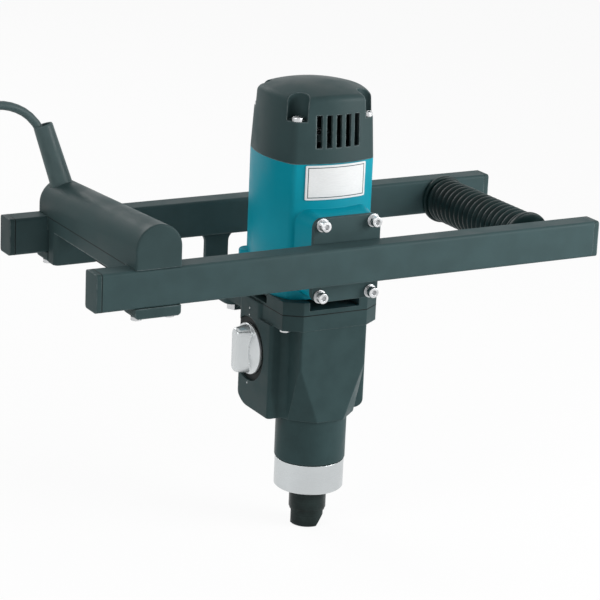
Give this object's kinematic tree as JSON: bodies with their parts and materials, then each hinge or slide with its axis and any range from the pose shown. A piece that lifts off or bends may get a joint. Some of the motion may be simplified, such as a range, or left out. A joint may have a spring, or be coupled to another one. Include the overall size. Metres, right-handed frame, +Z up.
{
  "type": "mixing drill",
  "caption": "Upright electric mixing drill held between long frame bars, with a D-shaped switch handle, a ribbed grip, a speed knob and a threaded spindle for a stirrer.",
  "frame": {"origin": "centre of the spindle's mouth, the open end of its thread", "axes": "+Z up the spindle axis, +X towards the ribbed grip, -Y towards the front bar"},
  "size_m": [0.5981, 0.2016, 0.3706],
  "materials": {
    "bar_paint": "satin powder coat",
    "dark_casting": "painted casting, satin",
    "dark_plastic": "fine grained",
    "teal_plastic": "satin gloss",
    "silver_plastic": "silver paint",
    "bare_aluminium": "turned",
    "zinc_steel": "zinc plated",
    "gear_steel": "machined",
    "black_steel": "blackened, oiled",
    "lamination": "stacked sheet",
    "copper": "enamelled wire",
    "brass": "satin",
    "carbon": "sintered",
    "black_rubber": "matt",
    "cord_rubber": "matt",
    "plate_metal": "brushed, blank",
    "switch_plastic": "smooth"
  },
  "bodies": {
    "frame": {"front_bar": "bar_paint", "rear_bar": "bar_paint", "bar_end_caps": "dark_plastic", "front_bracket": "bar_paint", "bracket_bolts": "zinc_steel", "bracket_flat_washers": "zinc_steel", "bracket_spring_washers": "zinc_steel", "rear_brackets": "bar_paint", "foot_bolts": "zinc_steel", "gear_housing": "dark_casting", "gear_housing_screws": "zinc_steel", "collar": "bare_aluminium", "oil_seal": "black_rubber", "spindle_lower_bearing": "gear_steel", "spindle_upper_bearing": "gear_steel", "knob_base": "switch_plastic", "fork_rod": "gear_steel", "fork_spring": "gear_steel", "layshaft_bearings": "gear_steel", "bearing_plate": "dark_casting", "motor_housing": "teal_plastic", "rating_plate": "plate_metal", "top_cover": "dark_plastic", "cover_screws": "zinc_steel", "bearing_bridge": "dark_plastic", "motor_bearings": "gear_steel", "stator_core": "lamination", "field_coils": "copper", "brush_holders": "brass", "carbon_brushes": "carbon", "handle_shell": "dark_plastic", "handle_base": "dark_plastic", "front_clamp": "dark_plastic", "rear_clamp": "dark_plastic", "clamp_screws": "zinc_steel", "switch_body": "switch_plastic", "trigger_pin": "gear_steel", "trigger_spring": "gear_steel", "grip_tube": "bar_paint", "grip_sleeve": "black_rubber", "cord_guard": "black_rubber", "cord": "cord_rubber", "cord_coil": "cord_rubber", "coil_tie": "cord_rubber", "plug": "cord_rubber"},
    "spindle": {"spindle": "black_steel", "low_gear": "gear_steel"},
    "shift_sleeve": {"shift_sleeve": "gear_steel"},
    "layshaft": {"layshaft": "gear_steel", "layshaft_gear": "gear_steel"},
    "armature": {"armature_shaft": "gear_steel", "armature_core": "lamination", "armature_windings": "copper", "commutator": "copper", "cooling_fan": "dark_plastic"},
    "high_gear": {"high_gear": "gear_steel"},
    "shift_fork": {"shift_fork": "brass"},
    "speed_knob": {"speed_knob": "silver_plastic"},
    "trigger": {"trigger": "switch_plastic"},
    "lock_button": {"lock_button": "switch_plastic"}
  },
  "joints": [
    {"name": "armature_spin", "type": "hinge", "parent": "frame", "child": "armature", "pos_m": [0, 0.0187, 0.2], "axis": [0, 0, 1], "continuous": true},
    {"name": "layshaft_spin", "type": "hinge", "parent": "frame", "child": "layshaft", "pos_m": [0.01824, 0.0269, 0.15], "axis": [0, 0, 1], "continuous": true},
    {"name": "spindle_spin", "type": "hinge", "parent": "frame", "child": "spindle", "pos_m": [0, 0, 0.1], "axis": [0, 0, 1], "continuous": true},
    {"name": "high_gear_spin", "type": "hinge", "parent": "frame", "child": "high_gear", "pos_m": [0, 0, 0.162], "axis": [0, 0, 1], "continuous": true},
    {"name": "knob_turn", "type": "hinge", "parent": "frame", "child": "speed_knob", "pos_m": [-0.045, 0.03, 0.147], "axis": [1, 0, 0], "range_deg": [0, 180]},
    {"name": "fork_slide", "type": "slide", "parent": "frame", "child": "shift_fork", "axis": [0, 0, 1], "range_m": [0, 0.006], "stiffness_N_per_m": 10, "springref_m": 0.033, "deforming": ["fork_spring"]},
    {"name": "sleeve_slide", "type": "slide", "parent": "spindle", "child": "shift_sleeve", "axis": [0, 0, 1], "range_m": [0, 0.006], "stiffness_N_per_m": 20, "springref_m": 0.0415},
    {"name": "trigger_press", "type": "hinge", "parent": "frame", "child": "trigger", "pos_m": [-0.173, 0.044, 0.2475], "axis": [-1, 0, 0], "range_deg": [0, 4.8], "stiffness_Nm_per_rad": 0.4, "springref_deg": -17.19},
    {"name": "lock_press", "type": "slide", "parent": "frame", "child": "lock_button", "axis": [-1, 0, 0], "range_m": [0, 0.0025], "stiffness_N_per_m": 300, "springref_m": -0.003}
  ],
  "couplings": [
    {"joint": "layshaft_spin", "follows": "armature_spin", "ratio": -0.21212},
    {"joint": "spindle_spin", "follows": "armature_spin", "ratio": 0.056911},
    {"joint": "high_gear_spin", "follows": "armature_spin", "ratio": 0.1123},
    {"joint": "knob_turn", "follows": "fork_slide", "rad_per_m": 523.6},
    {"joint": "sleeve_slide", "follows": "fork_slide", "ratio": 1}
  ]
}
